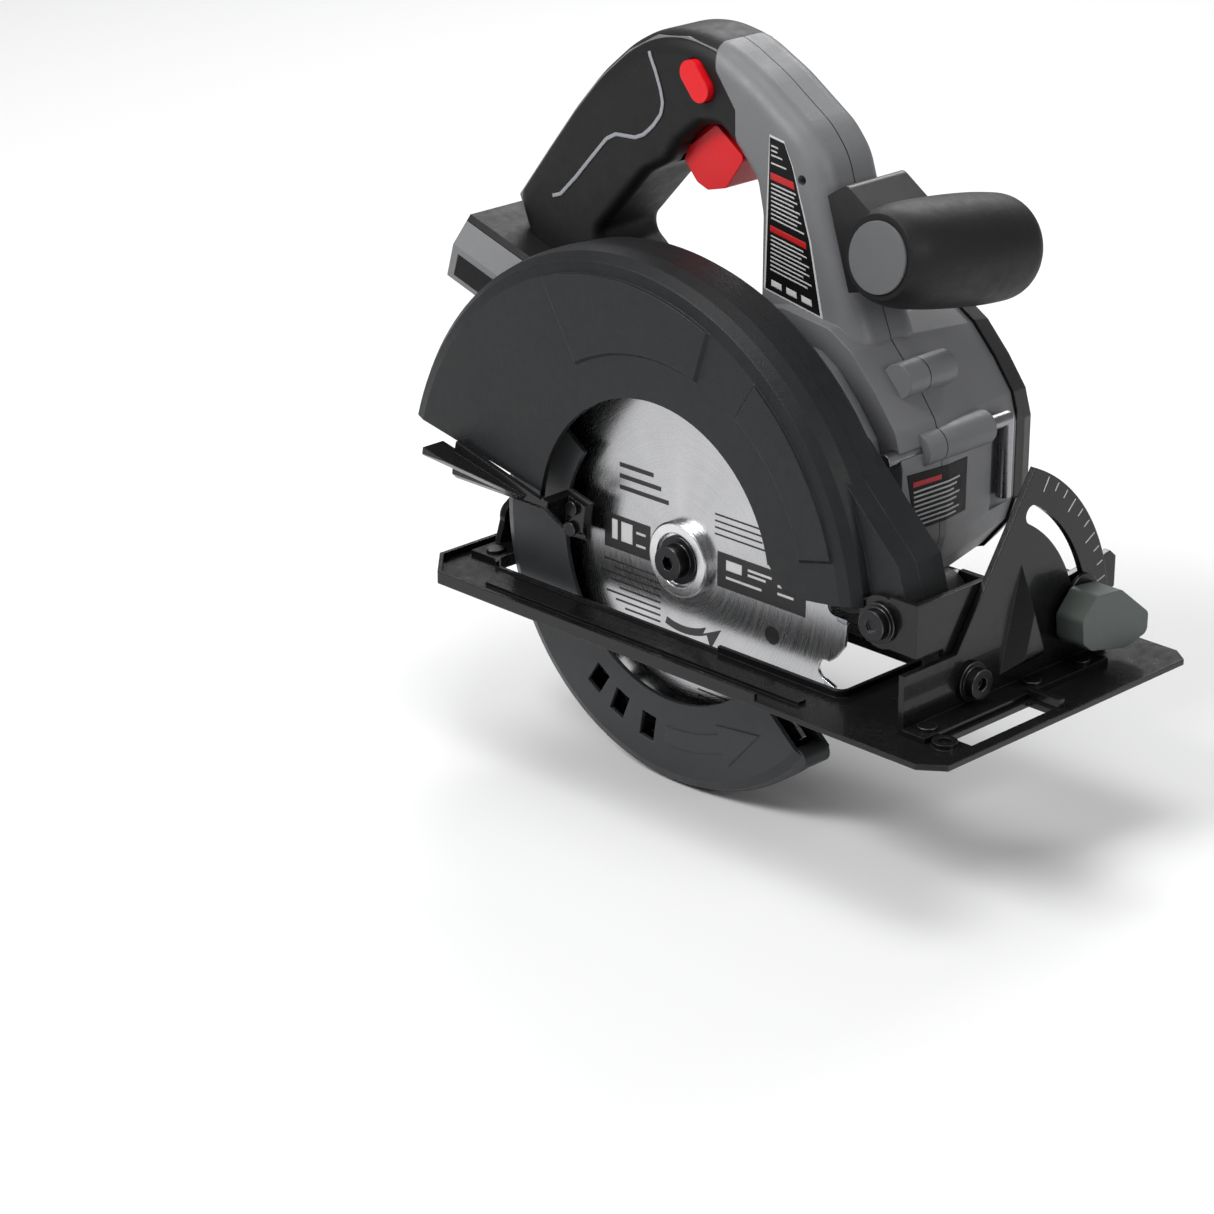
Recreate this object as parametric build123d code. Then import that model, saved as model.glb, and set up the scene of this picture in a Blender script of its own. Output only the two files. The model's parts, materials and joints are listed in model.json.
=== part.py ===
from build123d import *
import os
from math import cos, degrees, radians, sin

# A cordless circular saw, drawn in millimetres.
# Drawing frame: X points forward along the cut, Y goes from the blade to the motor side,
# Z goes up from the sole. X = 0 is the arbor, Y = 0 the blade's middle plane, Z = 0 the sole.
# Every node is moved at the end so that the origin lies on the sole, straight below the arbor
# axis and on the solid strip of the shoe that carries the motor side.
origin_from_blade = 60.0

# Blade and arbor
blade_radius = 82.5
blade_half = 0.6
tooth_count = 18
arbor_z = 28.24
bore_radius = 7.94
flange_radius = 14.9
flange_front = -4.4
spindle_radius = 6.0
hub_radius = 20.0
running = 0.05

# Reduction gear
gear_module = 0.9
gear_teeth = 46
pinion_teeth = 10
motor_angle = 60.0
centre_distance = gear_module * (gear_teeth + pinion_teeth) / 2
motor_x = centre_distance * cos(radians(motor_angle))
motor_z = arbor_z + centre_distance * sin(radians(motor_angle))
gear_low = 24.0
gear_high = 34.0

# Shoe
shoe_rear = -112.7
shoe_front = 155.2
shoe_right = -36.2
shoe_left = 109.7
sheet = 2.2
rim_height = 5.0
rim_wall = 1.6
window = (-92.0, 90.0, -11.6, 33.0)
fence_slot = (139.5, 150.0, -10.5, 34.0)

# Bevel hinge and quadrant: the hinge line runs along X
hinge_y = 15.0
hinge_z = 12.5
quadrant_x = 125.0
quadrant_thick = 2.5
quadrant_radius = 79.1
slot_radius = 63.1
slot_half = 3.6
stud_angle = 14.3
bevel_travel = 45.0
stud_y = hinge_y + slot_radius * cos(radians(stud_angle))
stud_z = hinge_z + slot_radius * sin(radians(stud_angle))
pin_radius = 3.0

# Depth hinge: the axis runs along Y through the guard's nose
depth_x = 107.6
depth_z = 36.8
depth_pin = 4.0
depth_travel = 27.0
depth_bolt_radius = 150.0
depth_bolt_angle = 176.9
depth_bolt_x = depth_x + depth_bolt_radius * cos(radians(depth_bolt_angle))
depth_bolt_z = depth_z + depth_bolt_radius * sin(radians(depth_bolt_angle))

# Guards
guard_x = -18.3
guard_z = 24.4
guard_face = -17.6
guard_back = 13.5
guard_wall = 2.5
guard_split = 0.0
panel_high = 1.5
lower_radius = 91.3

# Housing
seam_y = 52.0
handle_half = 17.5
edge_round = 9.0
hole_round = 4.8
grip_thick = 2.4
body_near = 30.0
cap_start = 104.0
cap_end = 114.0
taper_start = 56.0
body_taper = 9.0
cap_proud = 1.4
wall = 2.8
key_x = 76.0
key_z = 79.5
key_radius = 2.9
foot_tilt = -17.0
foot_near = 14.5
foot_far = 89.5
cover_thick = 2.6


# ---- Small helpers ----

def slab(sketch, y_low, y_high, taper=0.0):
    """A flat shape drawn in X and Z, made solid between two Y planes."""
    grown = extrude(Plane.XZ * sketch, amount=y_high - y_low, dir=(0, 1, 0), taper=taper)
    return Pos(0, y_low, 0) * grown


def plate_x(sketch, x_low, x_high, taper=0.0):
    """A flat shape drawn in Y and Z, made solid between two X planes."""
    grown = extrude(Plane.YZ * sketch, amount=x_high - x_low, dir=(1, 0, 0), taper=taper)
    return Pos(x_low, 0, 0) * grown


def plate_z(sketch, z_low, z_high):
    """A flat shape drawn in X and Y, made solid between two heights."""
    return Pos(0, 0, z_low) * extrude(Plane.XY * sketch, amount=z_high - z_low, dir=(0, 0, 1))


def rod_y(x, z, radius, y_low, y_high):
    return Pos(x, (y_low + y_high) / 2, z) * Rot(90, 0, 0) * Cylinder(radius, y_high - y_low)


def rod_x(y, z, radius, x_low, x_high):
    return Pos((x_low + x_high) / 2, y, z) * Rot(0, 90, 0) * Cylinder(radius, x_high - x_low)


def rod_z(x, y, radius, z_low, z_high):
    return Pos(x, y, (z_low + z_high) / 2) * Cylinder(radius, z_high - z_low)


def block(x_low, x_high, y_low, y_high, z_low, z_high):
    centre = Pos((x_low + x_high) / 2, (y_low + y_high) / 2, (z_low + z_high) / 2)
    return centre * Box(x_high - x_low, y_high - y_low, z_high - z_low)


def tube_y(x, z, outer, inner, y_low, y_high):
    return rod_y(x, z, outer, y_low, y_high) - rod_y(x, z, inner, y_low, y_high)


def shape(*points):
    return Polygon(*points, align=None)


def disc(x, z, radius):
    return Pos(x, z) * Circle(radius)


def rounded(sketch, radius):
    return fillet(sketch.vertices(), radius)


def arbor_point(radius, angle):
    """X and Z of a point at a radius and an angle about the arbor."""
    return radius * cos(radians(angle)), arbor_z + radius * sin(radians(angle))


def wedge(x, z, radius, start, stop):
    """A pie slice in X and Z from one angle up to another, coarser than the arc it cuts."""
    steps = max(2, int((stop - start) / 30) + 1)
    points = [(x, z)]
    for step in range(steps + 1):
        angle = radians(start + (stop - start) * step / steps)
        points.append((x + radius * cos(angle), z + radius * sin(angle)))
    return shape(*points)


def spun(profile, x, z):
    """A section drawn as (radius, y) points, turned about the Y axis through x and z."""
    section = Plane.XY * shape(*profile)
    return Pos(x, 0, z) * revolve(section, axis=Axis.Y)


def torx_screw_y(x, z, y_head, y_end, head, shank, head_high):
    """A screw along Y whose head faces the blade side."""
    screw = rod_y(x, z, head, y_head, y_head + head_high) + rod_y(x, z, shank, y_head, y_end)
    socket = Pos(x, y_head + 1.0, z) * Rot(90, 0, 0) * extrude(RegularPolygon(head * 0.45, 6), 1.0)
    return screw - socket


def coil(foot, direction, radius, wire, pitch, height):
    """A plain coil spring that stands on a point and runs along a direction."""
    line = Helix(pitch=pitch, height=height, radius=radius)
    start = Plane(origin=line @ 0, z_dir=line % 0)
    turned = sweep(start * Circle(wire), path=line)
    return Plane(origin=foot, z_dir=direction) * turned


# ---- Blade and drive ----

def gullet(angle):
    """The gap ahead of one tooth, drawn at angle zero and turned into place."""
    tip = blade_radius
    gap = disc(tip - 6.2, 4.0, 3.9) + shape(
        (tip + 2, 0.0), (tip - 6.2, 0.3), (tip - 6.2, 7.9), (tip - 4.3, 11.0), (tip - 1.4, 21.0), (tip + 2, 22.0)
    )
    return Rot(0, 0, angle) * gap


def blade():
    outline = Circle(blade_radius - 0.3)
    for tooth in range(tooth_count):
        outline -= gullet(360 / tooth_count * tooth - 1.1)
    outline -= Circle(bore_radius)
    outline -= disc(45.7, -18.0, 3.0)
    disc_solid = slab(Pos(0, arbor_z) * outline, -blade_half, blade_half)
    return disc_solid - carbide_tips()


def carbide_tips():
    tips = []
    for tooth in range(tooth_count):
        turn = Rot(0, 0, 360 / tooth_count * tooth - 1.1)
        corner = turn * shape(
            (blade_radius - 5.0, -1.4), (blade_radius - 5.0, 0.3), (blade_radius, 0.3), (blade_radius - 0.5, -1.9)
        )
        tips.append(slab(Pos(0, arbor_z) * corner, -blade_half - 0.25, blade_half + 0.25))
    return Compound(children=tips)


def inner_flange():
    ring = rod_y(0, arbor_z, 16.0, blade_half, 4.4) + rod_y(0, arbor_z, bore_radius - 0.04, -0.5, blade_half)
    return ring - rod_y(0, arbor_z, spindle_radius, -1, 5)


def outer_flange():
    ring = rod_y(0, arbor_z, flange_radius, flange_front, -blade_half)
    ring = chamfer(ring.edges().sort_by(Axis.Y)[0], 0.7)
    ring -= rod_y(0, arbor_z, 10.6, flange_front, -2.6)
    return ring - rod_y(0, arbor_z, 4.0, -3, 0)


def blade_bolt():
    head = rod_y(0, arbor_z, 6.6, -9.4, -3.4) + rod_y(0, arbor_z, 9.4, -3.9, -2.6)
    bolt = head + rod_y(0, arbor_z, 4.0, -2.6, 12.0)
    socket = Pos(0, -5.4, arbor_z) * Rot(90, 0, 0) * extrude(RegularPolygon(2.9, 6), 4.0)
    return bolt - socket


def spindle():
    shaft = rod_y(0, arbor_z, spindle_radius, -blade_half, 43.0)
    shaft += rod_y(0, arbor_z, 7.4, 4.4, 14.7)
    return shaft - rod_y(0, arbor_z, 4.0, -1, 12.0)


def toothed(teeth, y_low, y_high, turn):
    """A straight-toothed gear about the Y axis, with slim teeth that leave backlash."""
    pitch = gear_module * teeth / 2
    tip = pitch + 0.75 * gear_module
    root = pitch - 1.05 * gear_module
    step = 360 / teeth
    foot = degrees(0.98 * gear_module / root)
    crown = degrees(0.36 * gear_module / tip)
    profile = Circle(root)
    for tooth in range(teeth):
        angle = turn + step * tooth
        corners = []
        for radius, half in ((root - 0.4, -foot), (tip, -crown), (tip, crown), (root - 0.4, foot)):
            swing = radians(angle + half)
            corners.append((radius * cos(swing), radius * sin(swing)))
        profile += shape(*corners)
    return profile, y_low, y_high


def spindle_gear():
    profile, y_low, y_high = toothed(gear_teeth, gear_low, gear_high, motor_angle)
    wheel = slab(Pos(0, arbor_z) * profile, y_low, y_high)
    return wheel - rod_y(0, arbor_z, spindle_radius, y_low, y_high)


def armature_shaft():
    half_tooth = 180 / pinion_teeth
    profile, y_low, y_high = toothed(pinion_teeth, gear_low - 1, gear_high + 1, motor_angle + 180 + half_tooth)
    pinion = slab(Pos(motor_x, motor_z) * profile, y_low, y_high)
    shaft = rod_y(motor_x, motor_z, 2.4, gear_low - 3, gear_low - 1)
    shaft += rod_y(motor_x, motor_z, 3.0, gear_high + 1, 107.0)
    return pinion + shaft


def armature_core():
    core = rod_y(motor_x, motor_z, 14.0, 52.0, 78.0)
    for pole in range(5):
        turn = radians(72 * pole)
        core -= rod_y(motor_x + 13.4 * cos(turn), motor_z + 13.4 * sin(turn), 1.5, 52.0, 78.0)
    core += tube_y(motor_x, motor_z, 11.5, 3.0, 48.0, 82.0)
    return core - rod_y(motor_x, motor_z, 3.0, 40, 90)


def commutator():
    ring = tube_y(motor_x, motor_z, 7.0, 3.0, 84.0, 93.0)
    for bar in range(10):
        turn = radians(36 * bar)
        ring -= rod_y(motor_x + 7.1 * cos(turn), motor_z + 7.1 * sin(turn), 0.45, 84.5, 93.0)
    return ring


def cooling_fan():
    fan = tube_y(motor_x, motor_z, 6.0, 3.0, 96.0, 101.5)
    fan += tube_y(motor_x, motor_z, 19.0, 5.5, 99.8, 101.5)
    for vane in range(9):
        paddle = Pos(motor_x, 97.9, motor_z) * Rot(0, 40 * vane, 0) * Pos(12, 0, 0) * Box(13.0, 4.0, 1.4)
        fan += paddle
    return fan


def motor_can():
    can = tube_y(motor_x, motor_z, 19.0, 17.4, 45.0, 95.5)
    can += tube_y(motor_x, motor_z, 18.0, 8.4, 45.0, 46.6)
    for side in (-1, 1):
        can -= block(motor_x + side * 17 - 5, motor_x + side * 17 + 5, 85.5, 92.5, motor_z - 4.2, motor_z + 4.2)
    return can


def field_magnets():
    magnets = []
    for middle in (90, 270):
        ring = disc(motor_x, motor_z, 17.4) - disc(motor_x, motor_z, 14.4)
        piece = ring & wedge(motor_x, motor_z, 40, middle - 62, middle + 62)
        magnets.append(slab(piece, 50.0, 80.0))
    return Compound(children=magnets)


def brush_holders():
    holders = []
    for side in (-1, 1):
        inner = motor_x + side * 9.0
        outer = motor_x + side * 21.5
        low, high = sorted((inner, outer))
        holder = block(low, high, 85.8, 92.2, motor_z - 4.0, motor_z + 4.0)
        holder -= block(low - 1, high - 1.2 * side * (side > 0), 87.0, 91.0, motor_z - 2.6, motor_z + 2.6)
        holders.append(holder)
    return Compound(children=holders)


def carbon_brushes():
    brushes = []
    for side in (-1, 1):
        inner = motor_x + side * 7.3
        outer = motor_x + side * 15.0
        low, high = sorted((inner, outer))
        brushes.append(block(low, high, 87.1, 90.9, motor_z - 2.5, motor_z + 2.5))
    return Compound(children=brushes)


def spindle_bearings():
    front = tube_y(0, arbor_z, 13.0, spindle_radius + running, 15.0, 22.0)
    rear = tube_y(0, arbor_z, 11.0, spindle_radius + running, 36.5, 42.5)
    return Compound(children=[front, rear])


def armature_bearings():
    front = tube_y(motor_x, motor_z, 8.0, 3.0 + running, 37.0, 42.5)
    rear = tube_y(motor_x, motor_z, 8.0, 3.0 + running, 102.5, 107.0)
    return Compound(children=[front, rear])


# ---- Gear case ----

def body_outline(shrink=0.0):
    """The motor body seen along the arbor: a many-sided shape with flat faces at the front."""
    corners = shape(
        (-30, 24), (-30, 104), (-10, 118), (20, 124), (43, 121), (54, 114.5), (66, 102), (76, 89), (80, 76),
        (80, 44), (76, 31), (63, 15.5), (57, 13.5), (-16, 13.5),
    )
    outline = rounded(corners, 5.0)
    return offset(outline, -shrink) if shrink else outline


def gear_pocket(grow):
    """The space round both gears, seen along the arbor."""
    link = Pos(motor_x / 2, (arbor_z + motor_z) / 2) * Rot(0, 0, motor_angle) * Rectangle(30, 20 + 2 * grow)
    return disc(0, arbor_z, 22.3 + grow) + disc(motor_x, motor_z, 9.0 + grow) + (link if grow else Sketch())


def gear_case():
    outline = body_outline(9.0)
    case = slab(outline - offset(outline, -3.0), 18.0, body_near - 0.2)
    case += slab(outline, 26.5, body_near - 0.2)
    case += slab(gear_pocket(2.0), guard_back, 36.0)
    case += rod_y(0, arbor_z, hub_radius, 4.8, guard_back + 1)
    case -= slab(gear_pocket(0.0), 23.0, 36.0)
    case -= rod_y(0, arbor_z, 13.0, 15.0, 23.5)
    case -= rod_y(0, arbor_z, 9.5, 4.0, 16.0)
    case -= rod_y(0, arbor_z, 17.0, 4.0, 4.9)
    return case - rod_y(motor_x, motor_z, 2.8, 19.5, 23.5)


def bearing_plate():
    plate = slab(gear_pocket(2.0), 36.0, 42.5)
    plate -= rod_y(0, arbor_z, 11.0, 36.4, 43.0)
    plate -= rod_y(0, arbor_z, 7.0, 35.0, 37.0)
    plate -= rod_y(motor_x, motor_z, 8.0, 37.0, 43.0)
    plate -= rod_y(motor_x, motor_z, 4.5, 35.0, 38.0)
    return plate


def retaining_ring():
    ring = tube_y(0, arbor_z, hub_radius + 2.2, hub_radius, 5.0, 6.1)
    return ring - block(-1.5, 1.5, 4, 7, arbor_z + 16, arbor_z + 25)


# ---- Guards ----

def guard_keep(lift):
    """What of the upper guard is left: everything above its lower edge."""
    return shape(
        (-150, 60.5 - lift), (-60, 43.5 - lift), (-60, 30), (58, 30), (58.3, 47.1), (65.6, 39.1), (75.8, 37.8),
        (96, 40.5), (130, 40.5), (130, 170), (-150, 170),
    )


def nose_outline():
    """The arm that runs down and forward from the guard to the depth hinge."""
    arm = shape((78, 92), (88, 82), (113, 58), (117.8, 42), (108, 30), (99, 31), (92, 42), (86, 60))
    return arm + disc(depth_x, depth_z, 10.5)


def upper_guard():
    dome = spun(
        [
            (0, guard_face), (112.5, guard_face), (116.8, guard_face + 1.3), (119.8, guard_face + 5.0),
            (121, guard_face + 11), (121, guard_split), (118.5, guard_split), (118.5, guard_face + 11),
            (117.2, guard_face + 6.5), (114.6, guard_face + 3.6), (111.5, guard_face + guard_wall),
            (0, guard_face + guard_wall),
        ],
        guard_x, guard_z,
    )
    opening = disc(-0.4, arbor_z + 5.5, 60.0) + shape((-60.4, 33), (59.6, 33), (59.6, -60), (-60.4, -60))
    dome &= slab(guard_keep(0), guard_face - 1, guard_split + 1)
    dome -= slab(opening, guard_face - 1, guard_split + 1)
    nose = slab(nose_outline(), -9.2, guard_split) - rod_y(0, arbor_z, 93.0, -15.0, guard_split + 1)
    guard = dome + (nose - rod_y(guard_x, guard_z, 118.5, -15, 1))
    guard -= slab(disc(depth_x, depth_z, 11.4), -12.4, -9.2)
    for panel in (raised_panel(72.5, 121.5), raised_panel(13.5, 57.5)):
        step = slab(offset(panel, -panel_high), guard_face - panel_high, guard_face, taper=-45.0)
        guard += step & slab(disc(guard_x, guard_z, 112.3), guard_face - 2, guard_face)
    return guard - rod_y(depth_x, depth_z, depth_pin + running, -20, 20)


def raised_panel(start, stop):
    """One raised field of the guard's face, between two rays from the opening's centre."""
    band = disc(guard_x, guard_z, 114.0) - disc(-0.4, arbor_z + 5.5, 76.0)
    return band & wedge(-0.4, arbor_z + 5.5, 200, start, stop)


def guard_shell():
    """The inner half of the upper guard, on the motor side of the split line."""
    dome = spun(
        [
            (0, guard_back), (114.5, guard_back), (118.6, guard_back - 1.5), (120.4, guard_back - 4.5),
            (120.4, guard_split), (117.9, guard_split), (117.9, guard_back - 4.8), (116.8, guard_back - 3.2),
            (113.8, guard_back - guard_wall), (0, guard_back - guard_wall),
        ],
        guard_x, guard_z,
    )
    keep = guard_keep(0) + shape((-62, 44), (-30, 20), (-22, 6), (48, 6), (62, 22), (66, 39.5), (66, 60), (-62, 60))
    shell = dome & slab(keep, guard_split, guard_back + 1)
    nose = slab(nose_outline(), guard_split, guard_back) - rod_y(0, arbor_z, 93.0, -1, guard_back - guard_wall)
    shell += nose - rod_y(guard_x, guard_z, 117.9, -1, guard_back - guard_wall)
    shell += rod_y(depth_x, depth_z, 10.5, guard_back, 24.7)
    shell -= rod_y(0, arbor_z, hub_radius, 0, 30)
    shell -= rod_y(depth_bolt_x, depth_bolt_z, pin_radius, 0, 30)
    return shell - rod_y(depth_x, depth_z, depth_pin + running, -20, 30)


def lower_guard():
    shell = spun(
        [
            (44, -8.0), (85.5, -8.0), (89.4, -6.2), (lower_radius, -2.0), (lower_radius, 5.5), (89.0, 8.5),
            (hub_radius + running, 8.5), (hub_radius + running, 6.5), (87.6, 6.5), (89.5, 4.8), (89.5, -1.8),
            (88.0, -4.9), (84.8, -6.2), (44, -6.2),
        ],
        0, arbor_z,
    )
    sweep_back = wedge(0, arbor_z, 120, -215, -41)
    sector = slab(sweep_back, -10, 10) + rod_y(0, arbor_z, 32.0, 6.0, 9.0)
    guard = shell & sector
    tab = wedge(0, arbor_z, 70, 164, 184)
    face_hole = disc(0, arbor_z, 56) - tab
    guard -= slab(face_hole, -9, -5)
    for radius, angle in ((69.5, -123), (70.5, -112), (71.0, -99)):
        x, z = arbor_point(radius, angle)
        guard -= Pos(x, -7, z) * Rot(0, -angle, 0) * Box(10.5, 4.0, 7.5)
    guard += slab(direction_arrow(), -8.5, -8.0)
    bumper_x, bumper_z = arbor_point(88.6, -43)
    guard += rod_y(bumper_x, bumper_z, 4.2, -6.5, 6.8)
    for hole in lever_screw_places():
        guard -= rod_y(hole[0], hole[1], 1.6, -9, -6)
    return guard


def direction_arrow():
    """The raised arrow on the lower guard's face."""
    shaft = (disc(0, arbor_z, 74.5) - disc(0, arbor_z, 67.0)) & wedge(0, arbor_z, 120, -91, -66)
    tip = arbor_point(73.0, -50)
    head = shape(arbor_point(63.5, -67), arbor_point(80.0, -67), tip)
    return shaft + head


def lever_screw_places():
    return [arbor_point(50.0, 169), arbor_point(50.0, 179)]


def guard_lever():
    """A bent arm screwed to the lower guard, stepping out past the upper guard's face."""
    foot = (disc(0, arbor_z, 56) - disc(0, arbor_z, 44)) & wedge(0, arbor_z, 120, 165, 183)
    lever = slab(foot, -10.4, -8.0)
    post = (disc(0, arbor_z, 57.0) - disc(0, arbor_z, 53.5)) & wedge(0, arbor_z, 120, 165, 183)
    lever += slab(post, -21.6, -8.0)
    arm = (disc(0, arbor_z, 106) - disc(0, arbor_z, 53.5)) & wedge(0, arbor_z, 150, 166.0, 175.0)
    lever += slab(arm, -21.6, -19.4)
    top = (disc(0, arbor_z, 115) - disc(0, arbor_z, 66)) & shape(
        arbor_point(60, 168.5), arbor_point(120, 168.5), arbor_point(120, 170.3), arbor_point(60, 171.5)
    )
    lever += slab(top, -30.0, -19.4)
    for hole in lever_screw_places():
        lever -= rod_y(hole[0], hole[1], 1.6, -12, -6)
    return lever - plate_x(shape((-40, -20), (-9, -20), (-9, 27.3), (-40, 58.3)), -130, -30)


def lever_screws():
    screws = []
    for x, z in lever_screw_places():
        screws.append(rod_y(x, z, 2.9, -12.0, -10.4) + rod_y(x, z, 1.6, -10.4, -6.2))
    return Compound(children=screws)


def guard_spring():
    """The coil that swings the lower guard shut, wound round the hub."""
    return coil((0, 9.35, arbor_z), (0, 1, 0), hub_radius + 1.2, 0.5, 1.15, 1.2)


# ---- Housing and handle ----

# The corners of the handle, each as x, z and the radius that rounds it.
handle_edge = [
    (-130, 137, 9.5), (-112, 160, 90), (-98, 177.5, 90), (-83.5, 193.5, 80), (-68, 206.5, 60),
    (-53, 214.8, 50), (-36, 217, 45), (-19, 214, 45), (0, 204.5, 60), (22.8, 189.5, 30), (31, 180, 25),
    (36, 165, 9.5), (47.2, 130.8, 9.5), (54, 115, 9.5), (52, 88, 9.5), (20, 80, 9.5), (-20, 80, 9.5),
    (-45, 86, 9.5), (-75, 98, 9.5), (-100, 108, 9.5), (-120, 112, 9.5),
]
handle_opening = [
    (-84, 128.5, 6), (-56, 159, 12), (-45, 165, 6), (-39, 174, 8), (-28, 183, 7), (-18, 184, 7),
    (-9, 177, 8), (0, 167, 8), (2.8, 155, 15), (2.8, 108, 8), (-30, 104, 30), (-70, 118, 8),
]


def along_foot(x, z):
    """A point in the foot's own tilted directions, from its rear top corner."""
    turn = radians(foot_tilt)
    return -139.0 + x * cos(turn) - z * sin(turn), 129.0 + x * sin(turn) + z * cos(turn)


def soft_shape(*corners):
    """A closed outline whose corners are each given as x, z and the radius that rounds it."""
    outline = shape(*[(x, z) for x, z, radius in corners])
    for x, z, radius in corners:
        outline = fillet(outline.vertices().sort_by_distance(Vector(x, z)).first, radius)
    return outline


def handle_outline():
    """The closed handle seen from the side, with its strut and the arm to the foot."""
    return soft_shape(*handle_edge) - soft_shape(*handle_opening)


def handle_core(shrink):
    """The handle drawn in all round by a wall thickness, with plain corners."""
    edge = rounded(shape(*[(x, z) for x, z, radius in handle_edge]), 3.0)
    opening = rounded(shape(*[(x, z) for x, z, radius in handle_opening]), 1.0)
    core = offset(edge, -shrink) - offset(opening, shrink)
    return slab(core, seam_y - handle_half + shrink, seam_y + handle_half - shrink)


def handle_solid():
    """The handle with its long edges rounded for the hand."""
    low = seam_y - handle_half
    high = seam_y + handle_half
    solid = slab(handle_outline(), low, high)
    for side in (low, high):
        face = solid.faces().filter_by(Axis.Y).sort_by(Axis.Y)[0 if side == low else -1]
        solid = fillet(face.outer_wire().edges(), edge_round)
        face = solid.faces().filter_by(Axis.Y).sort_by(Axis.Y)[0 if side == low else -1]
        solid = fillet(face.inner_wires()[0].edges(), hole_round)
    return solid


def grip_region():
    """The part of the handle that the rubber grip covers."""
    return shape(
        (-24.5, 222), (-19.5, 205), (-9.5, 192), (-9.0, 165), (-70, 116), (-118, 104), (-150, 125), (-150, 222)
    )


def handle_half_solid(y_low, y_high):
    """Handle and strut between two planes, thinned where the grip sits round it."""
    skin = slab(grip_region(), 0, 120)
    between = block(-200, 200, y_low, y_high, 0, 260)
    return ((handle_solid() - skin) + (handle_core(grip_thick) & skin)) & between


def foot_block(side, depth):
    return shape(along_foot(0, 0), along_foot(82, 0), along_foot(82 - side, -depth), along_foot(0.5, -depth))


def foot_solid():
    foot = slab(foot_block(0, 26), foot_near, foot_far)
    for y_edge, y_corner in ((foot_near, foot_near + 6.5), (foot_far, foot_far - 6.5)):
        corner = extrude(Plane.YZ * shape((y_edge, -12), (y_edge, 2), (y_corner, 2), (y_corner, 0)), 110, both=True)
        foot -= Pos(-139, 0, 129) * Rot(0, -foot_tilt, 0) * corner
    return foot


def foot_space():
    """The room that the foot and its rubber top take up."""
    return slab(foot_block(0, 26), foot_near - 1, foot_far + 1)


def foot_top():
    """The rubber cover on the foot, with a low swell that carries the grip's end."""
    corners = (along_foot(-2, 1), along_foot(84, 1), along_foot(84, -cover_thick), along_foot(-2, -cover_thick))
    return foot_solid() & slab(shape(*corners), 0, 120)


def battery_bay():
    """The open channel under the foot that a battery pack slides into from the rear."""
    return slab(
        shape(along_foot(-4, -11), along_foot(72, -11), along_foot(72, -40), along_foot(-4, -40)),
        foot_near + 5.0, foot_far - 5.0,
    )


def body_solid(y_low, y_high):
    """The motor body, straight near the gear case and drawn in towards its end cap."""
    parts = Part()
    if y_low < taper_start:
        parts += slab(body_outline(), y_low, min(y_high, taper_start))
    if y_high > taper_start:
        parts += slab(body_outline(), taper_start, y_high, taper=body_taper)
    return parts


def body_hollow():
    space = slab(body_outline(wall), body_near + wall, taper_start + 0.1)
    return space + slab(body_outline(wall), taper_start, cap_start + 1, taper=body_taper)


def motor_cradle():
    """A ring round the motor can, held to the body's walls by three ribs."""
    cradle = rod_y(motor_x, motor_z, 21.8, 45.0, 84.0)
    for rib in (45.5, 62.0, 80.0):
        cradle += slab(body_outline(1.5 + (rib - taper_start) * 0.16 * (rib > taper_start)), rib, rib + 2.0)
    return cradle - rod_y(motor_x, motor_z, 19.2, 44.0, 85.0)


def key_bosses():
    """The two round bosses across the front: a screw boss above and the key's holder below."""
    holder = rod_y(key_x, key_z, 6.6, 42.0, 80.0)
    upper = rod_y(67.0, 104.0, 6.6, 41.0, 67.0)
    return holder, upper


def housing_half(y_low, y_high):
    half = handle_half_solid(y_low, y_high)
    half += body_solid(y_low, y_high)
    span = block(-200, 200, y_low, y_high, -50, 260)
    bosses = Part() + [boss & span for boss in key_bosses()]
    half += bosses
    half -= body_hollow() & span
    half -= handle_core(5.4) & span
    half += motor_cradle() & span
    half -= rod_y(key_x, key_z, key_radius + running, 29, 90)
    half -= gear_case_space()
    half -= button_space()
    half -= trigger_space()
    half -= foot_space()
    half -= key_recess()
    for x, z in housing_screw_places():
        half -= rod_y(x, z, 1.9, 30, 75)
        half += tube_y(x, z, 4.2, 1.9, seam_y - 12.5, seam_y + 12.5) & span
    return half


def gear_case_space():
    return slab(gear_pocket(2.4), 20.0, 44.8)


def key_recess():
    """The pocket at the front that the key's short arm folds into."""
    return block(key_x - 3.4, 100.0, 86.5, 130.0, 44.0, 86.0)


def housing_right():
    return housing_half(body_near, seam_y)


def housing_left():
    return housing_half(seam_y, cap_start)


def motor_end_cap():
    shrink = (cap_start - taper_start) * sin(radians(body_taper)) / cos(radians(body_taper))
    outline = body_outline(shrink - cap_proud)
    cap = slab(outline, cap_start, cap_end, taper=14.0)
    cap -= slab(body_outline(shrink + 2.2), cap_start, cap_end - 3.0, taper=14.0)
    cap += tube_y(motor_x, motor_z, 11.0, 8.0, 102.5, cap_end - 2.5)
    for row in range(5):
        cap -= block(motor_x + 16, motor_x + 40, cap_end - 4, cap_end + 1, 40 + 8 * row, 43.5 + 8 * row)
    return cap - key_recess()


def grip_cover():
    skin = slab(grip_region(), 0, 120)
    cover = (handle_solid() & skin) - (handle_core(grip_thick) & skin)
    return cover - foot_space() - button_space() - trigger_space()


def battery_foot():
    foot = foot_solid() - battery_bay() - foot_top()
    foot -= slab(
        shape(along_foot(2, -3.0), along_foot(70, -3.0), along_foot(70, -12), along_foot(2, -12)),
        seam_y - 30, seam_y + 30,
    )
    return foot - voltage_badge_space()


def badge_outline():
    return shape(along_foot(4, -14.5), along_foot(34, -14.5), along_foot(34, -24), along_foot(4, -24))


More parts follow.
